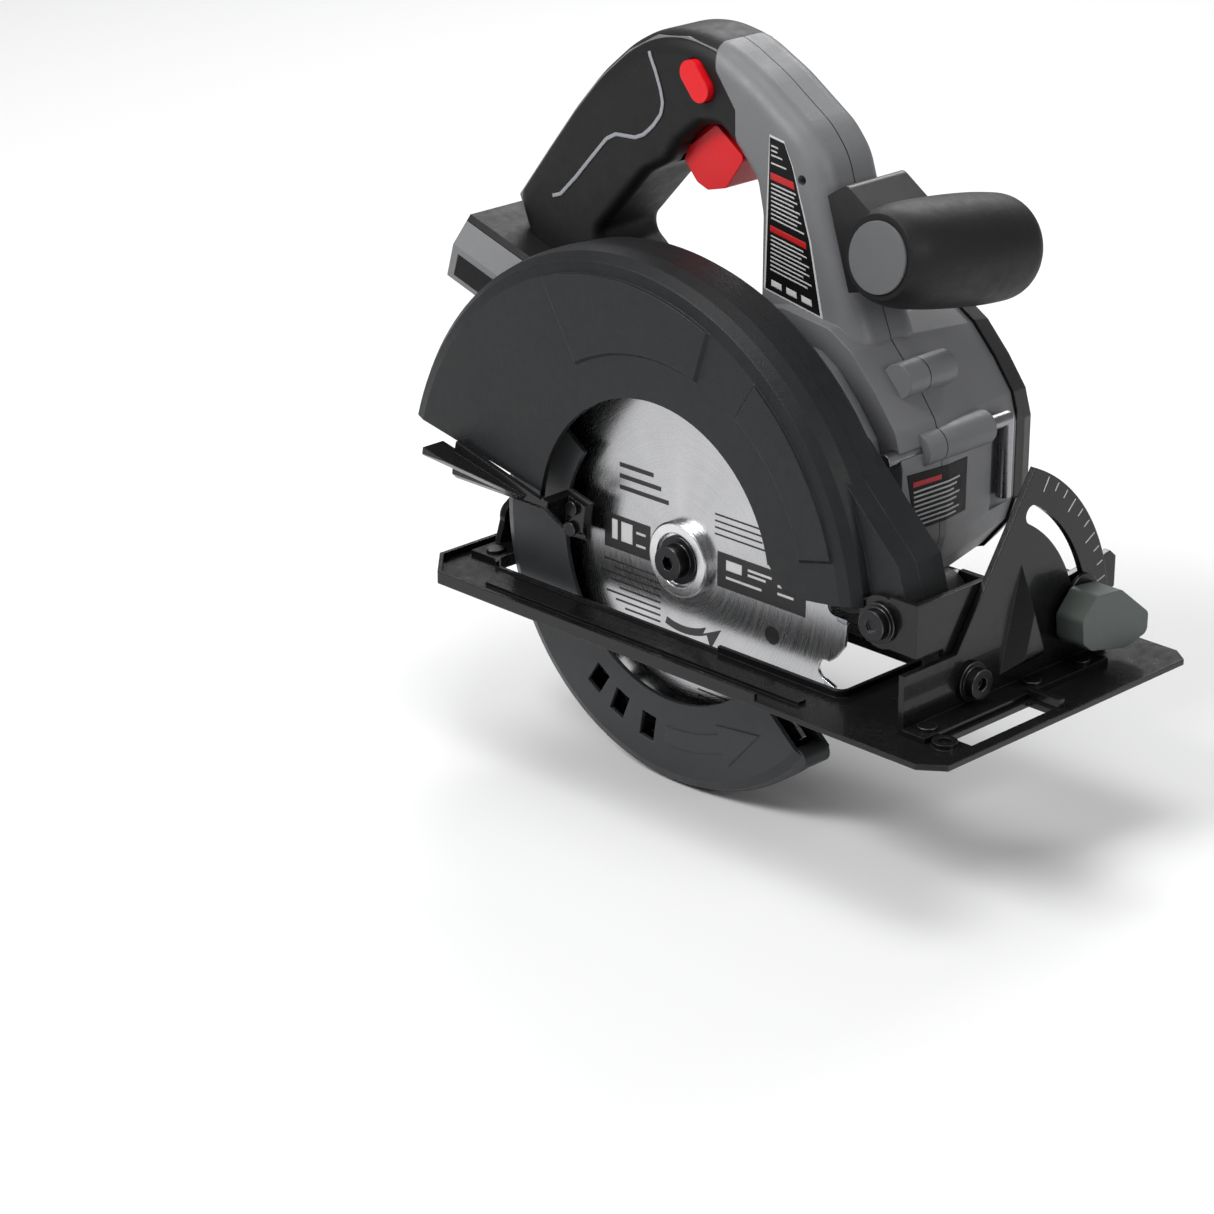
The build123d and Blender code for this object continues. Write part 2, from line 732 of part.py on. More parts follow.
def voltage_badge_space():
    return slab(badge_outline(), foot_near, foot_near + 1.0)


def voltage_badge():
    return slab(badge_outline(), foot_near, foot_near + 1.0)


def battery_rails():
    rails = []
    for near in (seam_y - 32.5, seam_y + 27.5):
        tread = shape(along_foot(2, -19), along_foot(68, -19), along_foot(68, -22), along_foot(2, -22))
        rails.append(slab(tread, near, near + 5.0))
    return Compound(children=rails)


def terminal_block():
    body = slab(
        shape(along_foot(46, -3), along_foot(70, -3), along_foot(70, -12), along_foot(46, -12)),
        seam_y - 22, seam_y + 22,
    )
    for place in (-15, -5, 5, 15):
        blade_tab = shape(along_foot(24, -8), along_foot(46, -8), along_foot(46, -11.5), along_foot(24, -11.5))
        body += slab(blade_tab, seam_y + place - 0.5, seam_y + place + 0.5)
    return body


# ---- Front handle ----

def front_handle_axis():
    return Pos(66.0, 29.5, 153.0) * Rot(-90, 0, 0) * Rot(-8.4, 0, 0)


def front_handle_grip():
    """A stubby barrel, rounded at its far end and cut flat at the near end for the cap."""
    flank = [(15.6, 0), (17.4, 4), (19.6, 16), (20.6, 34), (20.8, 52), (20.3, 63)]
    tip = [(20.3, 63), (19.0, 70), (15.5, 74.5), (9, 76.4)]
    outline = Spline(*flank) + Spline(*tip, tangents=[(-0.08, 1), (-1, 0.12)])
    outline += Polyline((9, 76.4), (0, 76.6), (0, 0), (15.6, 0))
    grip = front_handle_axis() * revolve(Plane.XZ * make_face(outline), axis=Axis.Z)
    return grip - front_handle_neck() - front_handle_cap()


def front_handle_cap():
    return front_handle_axis() * Pos(0, 0, 0.6) * Cylinder(13.2, 3.0)


def front_handle_neck():
    neck = shape((30, 132), (34.5, 168), (44, 174), (62, 162), (62, 138), (46, 134))
    return slab(rounded(neck, 3.0), seam_y - 15.5, seam_y + 15.5) - slab(handle_outline(), 0, 100)


# ---- Controls ----

def trigger_outline(grow=0.0):
    corners = shape((-27, 182), (-41, 171), (-43.5, 165.5), (-36.5, 158), (-31, 156), (-21.5, 158.5), (-12.5, 171.5))
    body = rounded(corners, 2.0)
    return offset(body, grow) if grow else body


def trigger():
    stem = shape((-29, 178), (-39, 170), (-46.5, 178), (-37, 186.5))
    return slab(trigger_outline(), 43.0, 61.0) + slab(stem, 47.0, 57.0)


def trigger_space():
    """Room in the handle for the trigger over its travel up and back."""
    swept = shape((-24, 187), (-11, 174), (-16, 153), (-36, 151), (-49.5, 166), (-52, 178), (-38, 193))
    return slab(swept, 42.6, 61.4)


def along_trigger(travel, across):
    """X and Z of a point a way along the trigger's line of travel and across it."""
    return -41.75 - 0.68 * travel + 0.733 * across, 182.25 + 0.733 * travel + 0.68 * across


def trigger_spring():
    foot_x, foot_z = along_trigger(0.5, 0)
    return coil((foot_x, seam_y, foot_z), (-0.68, 0, 0.733), 2.2, 0.4, 1.6, 5.6)


def switch_body():
    corners = [along_trigger(6.6, -8), along_trigger(20, -8), along_trigger(20, 8), along_trigger(6.6, 8)]
    return slab(shape(*corners), 44.5, 59.5)


def button_outline(grow=0.0):
    centre = Pos(-27.7, 200.0) * Rot(0, 0, -50)
    return centre * RectangleRounded(17.0 + 2 * grow, 9.6 + 2 * grow, 4.7 + grow)


def button_space():
    return slab(button_outline(0.35), 30.0, 75.0)


def lock_off_button():
    return slab(button_outline(), seam_y - handle_half - 3.2, seam_y + handle_half + 3.2)


def hex_key():
    long_arm = rod_y(key_x, key_z, key_radius, 24.0, 93.5)
    short_arm = rod_z(key_x, 93.5, key_radius, 48.5, key_z)
    corner = Pos(key_x, 93.5, key_z) * Sphere(key_radius)
    return long_arm + short_arm + corner


def housing_screw_places():
    return [(-108, 152), (-62, 202), (24, 172), (11, 112), (66, 30), (-22, 98)]


def housing_screws():
    screws = []
    for x, z in housing_screw_places():
        screws.append(rod_y(x, z, 1.9, 42.0, seam_y + 10))
    return Compound(children=screws)


# ---- Labels ----

def side_label():
    panel = rounded(shape((10.5, 184), (14.5, 182.5), (19.0, 172), (25.8, 148), (33.0, 127), (8.6, 131)), 1.5)
    return slab(panel, seam_y - handle_half - 0.3, seam_y - handle_half)


# ---- Shoe ----

def shoe_plate():
    outline = shape(
        (shoe_rear + 14, shoe_right), (shoe_front - 9, shoe_right), (shoe_front, shoe_right + 7),
        (shoe_front, shoe_left - 5), (shoe_front - 7, shoe_left), (shoe_rear + 6, shoe_left),
        (shoe_rear, shoe_left - 6), (shoe_rear, shoe_right + 14),
    )
    x_low, x_high, y_low, y_high = window
    middle = Pos((x_low + x_high) / 2, (y_low + y_high) / 2)
    hole = middle * RectangleRounded(x_high - x_low, y_high - y_low, 3.5)
    collar = middle * RectangleRounded(x_high - x_low + 2 * rim_wall, y_high - y_low + 2 * rim_wall, 5.0)
    rim = outline - offset(outline, -rim_wall)
    rim &= Pos(-30, 0) * Rectangle(360, 400) - Pos(120, 40) * Rectangle(100, 160) - Pos(110.5, -36) * Rectangle(9, 10)
    plate = plate_z(outline, 0, sheet) + plate_z(rim, 0, rim_height) + plate_z(collar, 0, rim_height)
    plate -= plate_z(hole, -1, rim_height + 1)
    plate -= block(-60, 60, y_high - 1, y_high + 3, 3.4, rim_height + 1)
    plate -= block(-90, 30, y_low - 3, y_low + 1, 3.2, rim_height + 1)
    plate += block(-80, 84, -28.0, -24.0, sheet, sheet + 1.4)
    x_low, x_high, y_low, y_high = fence_slot
    plate -= block(x_low, x_high, y_low, y_high, -1, 3)
    plate += block(x_low - 2, x_high + 2, y_high + 1.5, y_high + 4.5, sheet, sheet + 3.6)
    plate += rod_z(143.2, -17.1, 4.6, sheet, sheet + 2.0)
    plate -= rod_z(143.2, -17.1, 2.5, -1, 6)
    for x, y in rivet_places():
        plate -= rod_z(x, y, 2.0, -1, 3)
    return plate


def rivet_places():
    return [(132.5, -14), (132.5, 44), (132.5, 72), (-100.0, -4.0), (-100.0, 34.0)]


def shoe_rivets():
    rivets = []
    for x, y in rivet_places():
        rivets.append(rod_z(x, y, 2.0, 0.0, 4.4) + rod_z(x, y, 3.6, 4.4, 5.6))
    return Compound(children=rivets)


def bevel_quadrant():
    reach = shape((6.9, 24.6), (47.2, 85.2), (70, 100), (110, 60), (110, sheet), (-21.4, sheet), (-21.4, 24.6))
    outline = disc(hinge_y, hinge_z, quadrant_radius) & reach
    slot = disc(hinge_y, hinge_z, slot_radius + slot_half) - disc(hinge_y, hinge_z, slot_radius - slot_half)
    slot &= wedge(hinge_y, hinge_z, 120, stud_angle - 1, stud_angle + bevel_travel + 1)
    for angle in (stud_angle - 1, stud_angle + bevel_travel + 1):
        y = hinge_y + slot_radius * cos(radians(angle))
        z = hinge_z + slot_radius * sin(radians(angle))
        slot += disc(y, z, slot_half)
    plate = plate_x(outline - slot, quadrant_x, quadrant_x + quadrant_thick)
    gusset = shape((41.3, 50), (31.5, 9.5), (57.0, 10.5))
    plate += plate_x(gusset, quadrant_x + quadrant_thick, quadrant_x + 8.5, taper=42.0)
    plate += block(quadrant_x, 137.6, -21.4, 82.0, sheet, sheet * 2)
    plate -= rod_x(hinge_y, hinge_z, pin_radius, 120, 130)
    for x, y in rivet_places():
        plate -= rod_z(x, y, 2.0, 0, 6)
    return plate


def rear_pivot_ear():
    ear = plate_x(disc(hinge_y, hinge_z, 9.5) + shape((2, sheet), (28, sheet), (24.5, 13), (5.5, 13)), -107.5, -104.8)
    ear += block(-107.5, -94.0, -10.0, 40.0, sheet, sheet * 2)
    ear -= rod_x(hinge_y, hinge_z, pin_radius, -110, -100)
    for x, y in rivet_places():
        ear -= rod_z(x, y, 2.0, 0, 6)
    return ear


def pivot_screws():
    """The two hinge screws that the saw leans on, front and rear, with their heads outward."""
    front_face = quadrant_x + quadrant_thick
    front = rod_x(hinge_y, hinge_z, pin_radius, 117.4, front_face + 1)
    front += rod_x(hinge_y, hinge_z, 7.4, front_face, front_face + 1.6)
    front += rod_x(hinge_y, hinge_z, 5.6, front_face + 1.6, front_face + 5.6)
    front -= Pos(front_face + 3.2, hinge_y, hinge_z) * Rot(0, 90, 0) * extrude(RegularPolygon(2.7, 6), 4)
    rear = rod_x(hinge_y, hinge_z, pin_radius, -111.7, -97.5) + rod_x(hinge_y, hinge_z, 5.6, -111.7, -107.5)
    return Compound(children=[front, rear])


def pivot_nuts():
    nuts = []
    for x_low, x_high in ((118.0, 121.6), (-101.8, -98.2)):
        nut = plate_x(Pos(hinge_y, hinge_z) * RegularPolygon(5.8, 6), x_low, x_high)
        nuts.append(nut - rod_x(hinge_y, hinge_z, pin_radius, x_low - 1, x_high + 1))
    return Compound(children=nuts)


# ---- Tilting frame ----

def front_bracket():
    plate_back = 122.0
    plate_front = quadrant_x - 0.4
    arm = shape((hinge_y - 2, 5.5), (24, 5.5), (80, 17.5), (100.5, 24), (100.5, 36), (97, 39), (86, 37), (30, 31))
    face = shape((-12, 27.5), (28, 27.5), (28, 47.5), (-12, 47.5)) + disc(hinge_y, hinge_z, 8.5) + arm
    face += shape((6.5, 12.5), (23.5, 12.5), (28, 30), (2, 30))
    bracket = plate_x(face, plate_back, plate_front)
    side = shape((101, 28), (plate_front, 27.5), (plate_front, 47.5), (112, 47.5)) + disc(depth_x, depth_z, 10.0)
    bracket += slab(side, -12.0, -9.6) + slab(side, 25.1, 27.5)
    bracket -= rod_x(hinge_y, hinge_z, pin_radius + running, 120, 130)
    bracket -= rod_x(stud_y, stud_z, 3.2, 120, 130)
    return bracket - rod_y(depth_x, depth_z, depth_pin, -20, 30)


def depth_pivot_screw():
    return torx_screw_y(depth_x, depth_z, -17.2, 31.0, 5.8, depth_pin, 4.0) + rod_y(
        depth_x, depth_z, 7.6, -13.4, -12.0
    )


def depth_pivot_nut():
    nut = slab(Pos(depth_x, depth_z) * RegularPolygon(7.4, 6), 27.5, 31.0)
    return nut - rod_y(depth_x, depth_z, depth_pin, 27, 32)


def rear_bracket():
    band = disc(depth_x, depth_z, depth_bolt_radius + 9) - disc(depth_x, depth_z, depth_bolt_radius - 9)
    low = depth_bolt_angle - depth_travel
    band &= wedge(depth_x, depth_z, 220, low - 3.5, depth_bolt_angle + 5)
    slot = disc(depth_x, depth_z, depth_bolt_radius + 3.4) - disc(depth_x, depth_z, depth_bolt_radius - 3.4)
    slot &= wedge(depth_x, depth_z, 220, low - 1.6, depth_bolt_angle + 1.6)
    leg = shape((-101.5, 6.5), (-40, 6.5), (-33, 24), (-33, 40), (-52, 40), (-60, 24), (-101.5, 22))
    bracket = slab(band + leg - slot, 14.2, 16.7)
    tab = disc(hinge_y, hinge_z, 7.6) + shape((8, 13), (22, 13), (22, 21.5), (14, 21.5))
    bracket += plate_x(tab, -104.4, -102.0) + block(-104.4, -100, 14.2, 16.7, 6.5, 21)
    return bracket - rod_x(hinge_y, hinge_z, pin_radius + running, -105, -95) - block(
        -101.9, -97.0, 9.0, 21.0, 6.0, 19.0
    )


def bevel_bolt():
    bolt = rod_x(stud_y, stud_z, 3.2, 118.0, 139.5) + rod_x(stud_y, stud_z, 7.5, 118.0, 122.0)
    return bolt


def bevel_washer():
    return rod_x(stud_y, stud_z, 8.5, 127.9, 129.3) - rod_x(stud_y, stud_z, 3.2, 127, 130)


def bevel_lever():
    outline = shape((61, 17), (60, 26), (68, 34), (82, 32.5), (99, 19), (99, 11), (86, 8.5), (66, 13))
    lever = plate_x(rounded(outline, 3.0), 129.6, 142.0)
    return lever - rod_x(stud_y, stud_z, 3.2 + running, 120, 140.2)


def depth_bolt():
    bolt = rod_y(depth_bolt_x, depth_bolt_z, pin_radius, guard_back - guard_wall, 30.0)
    return bolt + rod_y(depth_bolt_x, depth_bolt_z, 7.0, guard_back - guard_wall - 1.8, guard_back - guard_wall)


def depth_lever():
    hub = disc(depth_bolt_x, depth_bolt_z, 9.0)
    end_x, end_z = depth_bolt_x - 42, depth_bolt_z - 12
    arm = shape(
        (depth_bolt_x, depth_bolt_z + 7), (depth_bolt_x, depth_bolt_z - 7), (end_x, end_z - 5), (end_x, end_z + 5)
    )
    lever = slab(hub, 17.1, 26.0) + slab(arm + disc(end_x, end_z, 5.0), 21.0, 26.0)
    return lever - rod_y(depth_bolt_x, depth_bolt_z, pin_radius + running, 15, 32)


# ---- Writing the nodes ----

nodes = {
    "blade": blade,
    "carbide_tips": carbide_tips,
    "inner_flange": inner_flange,
    "outer_flange": outer_flange,
    "blade_bolt": blade_bolt,
    "spindle": spindle,
    "spindle_gear": spindle_gear,
    "armature_shaft": armature_shaft,
    "armature_core": armature_core,
    "commutator": commutator,
    "cooling_fan": cooling_fan,
    "motor_can": motor_can,
    "field_magnets": field_magnets,
    "brush_holders": brush_holders,
    "carbon_brushes": carbon_brushes,
    "spindle_bearings": spindle_bearings,
    "armature_bearings": armature_bearings,
    "gear_case": gear_case,
    "bearing_plate": bearing_plate,
    "retaining_ring": retaining_ring,
    "upper_guard": upper_guard,
    "guard_shell": guard_shell,
    "lower_guard": lower_guard,
    "guard_lever": guard_lever,
    "lever_screws": lever_screws,
    "guard_spring": guard_spring,
    "housing_right": housing_right,
    "housing_left": housing_left,
    "motor_end_cap": motor_end_cap,
    "grip_cover": grip_cover,
    "battery_foot": battery_foot,
    "foot_top": foot_top,
    "voltage_badge": voltage_badge,
    "battery_rails": battery_rails,
    "terminal_block": terminal_block,
    "front_handle_grip": front_handle_grip,
    "front_handle_neck": front_handle_neck,
    "front_handle_cap": front_handle_cap,
    "trigger": trigger,
    "trigger_spring": trigger_spring,
    "switch_body": switch_body,
    "lock_off_button": lock_off_button,
    "hex_key": hex_key,
    "housing_screws": housing_screws,
    "side_label": side_label,
    "shoe_plate": shoe_plate,
    "shoe_rivets": shoe_rivets,
    "bevel_quadrant": bevel_quadrant,
    "rear_pivot_ear": rear_pivot_ear,
    "pivot_screws": pivot_screws,
    "pivot_nuts": pivot_nuts,
    "front_bracket": front_bracket,
    "depth_pivot_screw": depth_pivot_screw,
    "depth_pivot_nut": depth_pivot_nut,
    "rear_bracket": rear_bracket,
    "bevel_bolt": bevel_bolt,
    "bevel_washer": bevel_washer,
    "bevel_lever": bevel_lever,
    "depth_bolt": depth_bolt,
    "depth_lever": depth_lever,
}

os.makedirs("parts", exist_ok=True)
for name, build in nodes.items():
    export_step(Pos(0, -origin_from_blade, 0) * build(), f"parts/{name}.step")
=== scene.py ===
import json
import math
import bpy
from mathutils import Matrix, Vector


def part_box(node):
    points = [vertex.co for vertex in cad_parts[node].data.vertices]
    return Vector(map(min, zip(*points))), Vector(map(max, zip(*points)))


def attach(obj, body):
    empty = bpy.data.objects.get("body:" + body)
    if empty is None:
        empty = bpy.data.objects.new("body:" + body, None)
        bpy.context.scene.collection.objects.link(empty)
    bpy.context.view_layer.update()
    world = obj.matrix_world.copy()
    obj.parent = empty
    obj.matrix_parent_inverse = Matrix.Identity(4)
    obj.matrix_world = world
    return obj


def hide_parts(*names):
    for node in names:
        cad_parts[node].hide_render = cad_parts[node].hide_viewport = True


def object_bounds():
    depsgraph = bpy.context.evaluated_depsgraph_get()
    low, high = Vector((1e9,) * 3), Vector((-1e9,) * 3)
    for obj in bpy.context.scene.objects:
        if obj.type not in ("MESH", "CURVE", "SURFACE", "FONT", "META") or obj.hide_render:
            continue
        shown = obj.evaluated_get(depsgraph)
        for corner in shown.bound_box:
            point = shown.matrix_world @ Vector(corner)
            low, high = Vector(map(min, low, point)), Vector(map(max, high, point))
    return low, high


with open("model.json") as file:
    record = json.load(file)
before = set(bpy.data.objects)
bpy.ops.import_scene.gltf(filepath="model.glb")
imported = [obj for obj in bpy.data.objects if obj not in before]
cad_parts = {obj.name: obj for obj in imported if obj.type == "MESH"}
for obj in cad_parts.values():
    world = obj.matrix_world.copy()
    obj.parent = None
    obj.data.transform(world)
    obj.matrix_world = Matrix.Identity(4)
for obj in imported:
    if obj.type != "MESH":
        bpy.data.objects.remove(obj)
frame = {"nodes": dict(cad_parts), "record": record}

cad_box = [list(corner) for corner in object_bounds()]

# Everything is in metres. The blade's plane, the housing's seam and the arbor are read from the
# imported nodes, so that the pieces made here sit where the solid ones do.
mm = 0.001
blade_low, blade_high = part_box("blade")
blade_y = (blade_low.y + blade_high.y) / 2
spindle_low, spindle_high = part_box("spindle")
arbor = Vector(((spindle_low.x + spindle_high.x) / 2, blade_y, (spindle_low.z + spindle_high.z) / 2))
seam_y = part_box("housing_right")[1].y


def at(x, y, z):
    """A point given in millimetres from the arbor's foot, the blade's plane and the sole."""
    return Vector((x * mm, blade_y + y * mm, z * mm))


# ---- Shader groups ----

def start_group(name, inputs, outputs):
    """An empty shader group with named sockets, and its two end nodes."""
    group = bpy.data.node_groups.new(name, "ShaderNodeTree")
    for label, kind, value in inputs:
        group.interface.new_socket(label, in_out="INPUT", socket_type=kind).default_value = value
    for label, kind in outputs:
        group.interface.new_socket(label, in_out="OUTPUT", socket_type=kind)
    return group, group.nodes.new("NodeGroupInput"), group.nodes.new("NodeGroupOutput")


def sums(tree, operation, first, second, third=None):
    """One Math node; each value is a number or a socket."""
    node = tree.nodes.new("ShaderNodeMath")
    node.operation = operation
    for place, value in enumerate((first, second, third)):
        if value is None:
            continue
        if isinstance(value, (int, float)):
            node.inputs[place].default_value = value
        else:
            tree.links.new(value, node.inputs[place])
    return node.outputs[0]


def blended(tree, mask, low, high, kind="MIX"):
    """One colour Mix node from low to high; colours are tuples or sockets."""
    node = tree.nodes.new("ShaderNodeMix")
    node.data_type = "RGBA"
    node.blend_type = kind
    for place, value in ((0, mask), (6, low), (7, high)):
        if isinstance(value, (int, float)):
            node.inputs[place].default_value = value
        elif isinstance(value, tuple):
            node.inputs[place].default_value = (*value, 1.0)
        else:
            tree.links.new(value, node.inputs[place])
    return node.outputs[2]


def noise(tree, vector, scale, detail=3.0, roughness=0.6):
    node = tree.nodes.new("ShaderNodeTexNoise")
    node.inputs["Detail"].default_value = detail
    node.inputs["Roughness"].default_value = roughness
    if isinstance(scale, (int, float)):
        node.inputs["Scale"].default_value = scale
    else:
        tree.links.new(scale, node.inputs["Scale"])
    tree.links.new(vector, node.inputs["Vector"])
    return node.outputs["Fac"]


def make_grain():
    """The stippled texture of moulded or powder-coated surfaces."""
    group, start, end = start_group(
        "surface_grain",
        [
            ("Color", "NodeSocketColor", (0.1, 0.1, 0.1, 1.0)),
            ("Grain Size", "NodeSocketFloat", 0.8),
            ("Blotch", "NodeSocketFloat", 0.2),
            ("Gloss Low", "NodeSocketFloat", 0.4),
            ("Gloss High", "NodeSocketFloat", 0.6),
        ],
        [("Color", "NodeSocketColor"), ("Roughness", "NodeSocketFloat"), ("Height", "NodeSocketFloat")],
    )
    place = group.nodes.new("ShaderNodeTexCoord").outputs["Object"]
    scale = sums(group, "DIVIDE", 1100.0, start.outputs["Grain Size"])
    fine = noise(group, place, scale, 2.0, 0.55)
    pits = group.nodes.new("ShaderNodeTexVoronoi")
    pits.feature = "SMOOTH_F1"
    group.links.new(place, pits.inputs["Vector"])
    group.links.new(scale, pits.inputs["Scale"])
    broad = noise(group, place, 45.0, 4.0, 0.6)
    patch = noise(group, place, 260.0, 2.0, 0.5)
    height = sums(group, "ADD", sums(group, "MULTIPLY", pits.outputs["Distance"], 0.8), fine)
    tone = sums(group, "MULTIPLY_ADD", sums(group, "SUBTRACT", broad, 0.5), start.outputs["Blotch"], 1.0)
    tone = sums(group, "MULTIPLY_ADD", sums(group, "SUBTRACT", fine, 0.5), 0.12, tone)
    shade = group.nodes.new("ShaderNodeVectorMath")
    shade.operation = "SCALE"
    group.links.new(start.outputs["Color"], shade.inputs[0])
    group.links.new(tone, shade.inputs["Scale"])
    group.links.new(shade.outputs[0], end.inputs["Color"])
    spread = group.nodes.new("ShaderNodeMapRange")
    spread.inputs["From Min"].default_value = 0.3
    spread.inputs["From Max"].default_value = 0.7
    patchy = sums(group, "MULTIPLY_ADD", patch, 0.5, sums(group, "MULTIPLY", broad, 0.5))
    group.links.new(patchy, spread.inputs["Value"])
    group.links.new(start.outputs["Gloss Low"], spread.inputs["To Min"])
    group.links.new(start.outputs["Gloss High"], spread.inputs["To Max"])
    group.links.new(spread.outputs[0], end.inputs["Roughness"])
    group.links.new(height, end.inputs["Height"])
    return group


def make_wear_and_highlight():
    """Edges painted paler, partly worn by rubbing and partly a painted highlight, with the corner rounding
    that a real part has.
    """
    group, start, end = start_group(
        "edge_wear_and_highlight",
        [
            ("Color", "NodeSocketColor", (0.1, 0.1, 0.1, 1.0)),
            ("Rubbed Color", "NodeSocketColor", (0.3, 0.3, 0.3, 1.0)),
            ("Amount", "NodeSocketFloat", 0.5),
        ],
        [("Color", "NodeSocketColor"), ("Normal", "NodeSocketVector"), ("Mask", "NodeSocketFloat")],
    )
    place = group.nodes.new("ShaderNodeTexCoord").outputs["Object"]
    rounding = group.nodes.new("ShaderNodeBevel")
    rounding.samples = 6
    rounding.inputs["Radius"].default_value = 0.0007
    flat = group.nodes.new("ShaderNodeNewGeometry").outputs["Normal"]
    turn = group.nodes.new("ShaderNodeVectorMath")
    turn.operation = "DOT_PRODUCT"
    group.links.new(rounding.outputs[0], turn.inputs[0])
    group.links.new(flat, turn.inputs[1])
    edge = group.nodes.new("ShaderNodeMapRange")
    edge.inputs["From Min"].default_value = 0.985
    edge.inputs["From Max"].default_value = 0.86
    group.links.new(turn.outputs["Value"], edge.inputs["Value"])
    broken = group.nodes.new("ShaderNodeMapRange")
    broken.inputs["From Min"].default_value = 0.22
    broken.inputs["From Max"].default_value = 0.62
    group.links.new(noise(group, place, 160.0, 4.0, 0.65), broken.inputs["Value"])
    rubbed_and_highlight = sums(group, "MULTIPLY", edge.outputs[0], broken.outputs[0])
    mask = sums(group, "MULTIPLY", rubbed_and_highlight, start.outputs["Amount"])
    # The paler edge colour is partly worn by rubbing and partly a painted highlight.
    shown = blended(group, mask, start.outputs["Color"], start.outputs["Rubbed Color"])
    group.links.new(shown, end.inputs["Color"])
    group.links.new(rounding.outputs[0], end.inputs["Normal"])
    group.links.new(mask, end.inputs["Mask"])
    return group


def make_dust():
    """A thin, uneven film of pale dust on what faces up."""
    group, start, end = start_group(
        "dust_film",
        [
            ("Color", "NodeSocketColor", (0.1, 0.1, 0.1, 1.0)),
            ("Roughness", "NodeSocketFloat", 0.5),
            ("Amount", "NodeSocketFloat", 0.1),
        ],
        [("Color", "NodeSocketColor"), ("Roughness", "NodeSocketFloat")],
    )
    place = group.nodes.new("ShaderNodeTexCoord").outputs["Object"]
    split = group.nodes.new("ShaderNodeSeparateXYZ")
    group.links.new(group.nodes.new("ShaderNodeNewGeometry").outputs["Normal"], split.inputs[0])
    facing = group.nodes.new("ShaderNodeMapRange")
    facing.inputs["From Min"].default_value = -0.2
    facing.inputs["From Max"].default_value = 1.0
    group.links.new(split.outputs["Z"], facing.inputs["Value"])
    speck = noise(group, place, 420.0, 5.0, 0.7)
    cloud = noise(group, place, 38.0, 3.0, 0.6)
    film = sums(group, "MULTIPLY", sums(group, "MULTIPLY", facing.outputs[0], speck), cloud)
    mask = sums(group, "MULTIPLY", film, sums(group, "MULTIPLY", start.outputs["Amount"], 1.2))
    group.links.new(blended(group, mask, start.outputs["Color"], (0.42, 0.40, 0.37)), end.inputs["Color"])
    group.links.new(
        sums(group, "MULTIPLY_ADD", mask, 0.5, start.outputs["Roughness"]), end.inputs["Roughness"]
    )
    return group


def make_turning():
    """Fine rings left by turning or grinding about an axis along Y."""
    group, start, end = start_group(
        "turned_rings",
        [
            ("Color", "NodeSocketColor", (0.5, 0.5, 0.5, 1.0)),
            ("Centre", "NodeSocketVector", (0.0, 0.0, 0.0)),
            ("Ring Count", "NodeSocketFloat", 1600.0),
            ("Contrast", "NodeSocketFloat", 0.3),
        ],
        [("Color", "NodeSocketColor"), ("Roughness", "NodeSocketFloat"), ("Height", "NodeSocketFloat")],
    )
    place = group.nodes.new("ShaderNodeTexCoord").outputs["Object"]
    shift = group.nodes.new("ShaderNodeVectorMath")
    shift.operation = "SUBTRACT"
    group.links.new(place, shift.inputs[0])
    group.links.new(start.outputs["Centre"], shift.inputs[1])
    split = group.nodes.new("ShaderNodeSeparateXYZ")
    group.links.new(shift.outputs[0], split.inputs[0])
    radius = sums(
        group, "SQRT",
        sums(group, "MULTIPLY_ADD", split.outputs["X"], split.outputs["X"],
             sums(group, "MULTIPLY", split.outputs["Z"], split.outputs["Z"])), 0.0,
    )
    angle = sums(group, "ARCTAN2", split.outputs["Z"], split.outputs["X"])
    ring = group.nodes.new("ShaderNodeCombineXYZ")
    group.links.new(sums(group, "MULTIPLY", radius, start.outputs["Ring Count"]), ring.inputs["X"])
    group.links.new(sums(group, "MULTIPLY", angle, 1.2), ring.inputs["Y"])
    lines = noise(group, ring.outputs[0], 1.0, 3.0, 0.7)
    sweep = group.nodes.new("ShaderNodeCombineXYZ")
    group.links.new(sums(group, "MULTIPLY", radius, 14.0), sweep.inputs["X"])
    group.links.new(sums(group, "MULTIPLY", angle, 1.7), sweep.inputs["Y"])
    broad = noise(group, sweep.outputs[0], 1.0, 2.0, 0.5)
    tone = sums(group, "MULTIPLY_ADD", sums(group, "SUBTRACT", lines, 0.5), start.outputs["Contrast"], 1.0)
    tone = sums(group, "MULTIPLY_ADD", sums(group, "SUBTRACT", broad, 0.5), start.outputs["Contrast"], tone)
    shade = group.nodes.new("ShaderNodeVectorMath")
    shade.operation = "SCALE"
    group.links.new(start.outputs["Color"], shade.inputs[0])
    group.links.new(tone, shade.inputs["Scale"])
    group.links.new(shade.outputs[0], end.inputs["Color"])
    group.links.new(sums(group, "MULTIPLY_ADD", lines, 0.22, 0.16), end.inputs["Roughness"])
    group.links.new(lines, end.inputs["Height"])
    return group


grain = make_grain()
wear_and_highlight = make_wear_and_highlight()
dust = make_dust()
turning = make_turning()


# ---- Materials ----

def placed(tree, group, **values):
    """A group placed in a material, with its own values or linked sockets."""
    node = tree.nodes.new("ShaderNodeGroup")
    node.node_tree = group
    for label, value in values.items():
        socket = node.inputs[label.replace("_", " ")]
        if isinstance(value, bpy.types.NodeSocket):
            tree.links.new(value, socket)
        elif isinstance(value, tuple) and socket.type == "RGBA":
            socket.default_value = (*value, 1.0)
        else:
            socket.default_value = value
    return node


def new_finish(name, metallic=0.0, coat=0.0, coat_roughness=0.1, specular=0.38):
    material = bpy.data.materials.new(name)
    material.use_nodes = True
    shader = material.node_tree.nodes["Principled BSDF"]
    shader.inputs["Metallic"].default_value = metallic
    shader.inputs["Coat Weight"].default_value = coat
    shader.inputs["Coat Roughness"].default_value = coat_roughness
    shader.inputs["Specular IOR Level"].default_value = specular
    return material, material.node_tree, shader


